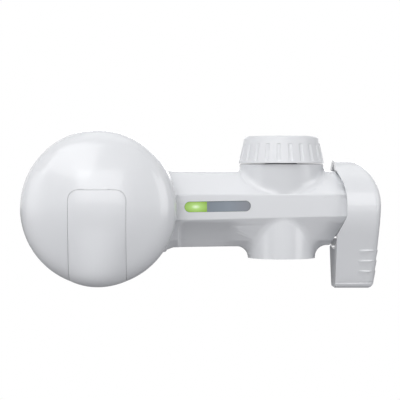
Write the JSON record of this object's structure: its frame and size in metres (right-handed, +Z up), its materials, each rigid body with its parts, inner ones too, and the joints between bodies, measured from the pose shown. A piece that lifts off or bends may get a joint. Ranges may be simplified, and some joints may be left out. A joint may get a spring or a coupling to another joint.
{
  "type": "faucet water filter",
  "caption": "Faucet-mount water filter: round twist-off cover, faceted arm with an indicator window, ribbed mounting collar, flared outlet and a turning lever.",
  "frame": {"origin": "middle of the mounting collar's thread, on its axis", "axes": "+Z up along the collar's axis, +X from the round filter to the lever, -Y towards the user"},
  "size_m": [0.1773, 0.0921, 0.0777],
  "materials": {
    "white_plastic": "glossy moulded plastic",
    "collar_plastic": "satin moulded plastic",
    "inner_plastic": "plain moulded plastic",
    "grey_window": "translucent grey plastic",
    "green_window": "translucent green plastic, lit from behind",
    "board": "green board with solder mask",
    "lamp": "clear lamp body",
    "steel": "plain steel",
    "brass": "turned brass",
    "seal_rubber": "black rubber",
    "gasket_grey": "soft grey gasket",
    "charcoal": "pressed carbon",
    "cartridge_plastic": "plain white plastic"
  },
  "bodies": {
    "main": {"inlet_stem": "inner_plastic", "inlet_screen": "steel", "inlet_washer": "seal_rubber", "arm_shell": "white_plastic", "arm_back_cover": "white_plastic", "back_cover_screws": "steel", "green_lens": "green_window", "indicator_window": "grey_window", "circuit_board": "board", "indicator_lamps": "lamp", "coin_battery": "steel", "battery_clip": "steel", "feed_tube": "inner_plastic", "valve_sleeve": "inner_plastic", "valve_end_cap": "inner_plastic", "outlet_insert": "inner_plastic", "outlet_screen": "steel", "filter_housing": "white_plastic", "housing_seal": "seal_rubber", "outlet_nozzle": "inner_plastic", "cartridge_case": "cartridge_plastic", "cartridge_cap": "cartridge_plastic", "cartridge_seals": "seal_rubber", "carbon_block": "charcoal"},
    "collar": {"mounting_collar": "collar_plastic"},
    "lever": {"handle": "white_plastic", "handle_screw": "steel", "handle_cap": "white_plastic", "diverter_spool": "brass", "spool_o_rings": "seal_rubber"},
    "cover_travel": {"rim_gasket": "gasket_grey"},
    "cover": {"filter_cover": "white_plastic", "cover_panel": "white_plastic"}
  },
  "joints": [
    {"name": "collar_turn", "type": "hinge", "parent": "main", "child": "collar", "pos_m": [0, 0, 0], "axis": [0, 0, 1], "continuous": true},
    {"name": "lever_turn", "type": "hinge", "parent": "main", "child": "lever", "pos_m": [0, 0, -0.0322], "axis": [-1, 0, 0], "range_deg": [0, 90]},
    {"name": "cover_slide", "type": "slide", "parent": "main", "child": "cover_travel", "axis": [0, -1, 0], "range_m": [0, 0.0051]},
    {"name": "cover_twist", "type": "hinge", "parent": "cover_travel", "child": "cover", "pos_m": [-0.0901, 0, -0.0314], "axis": [0, -1, 0], "range_deg": [0, 90]}
  ],
  "couplings": [
    {"joint": "cover_slide", "follows": "cover_twist", "m_per_rad": 0.0032}
  ]
}
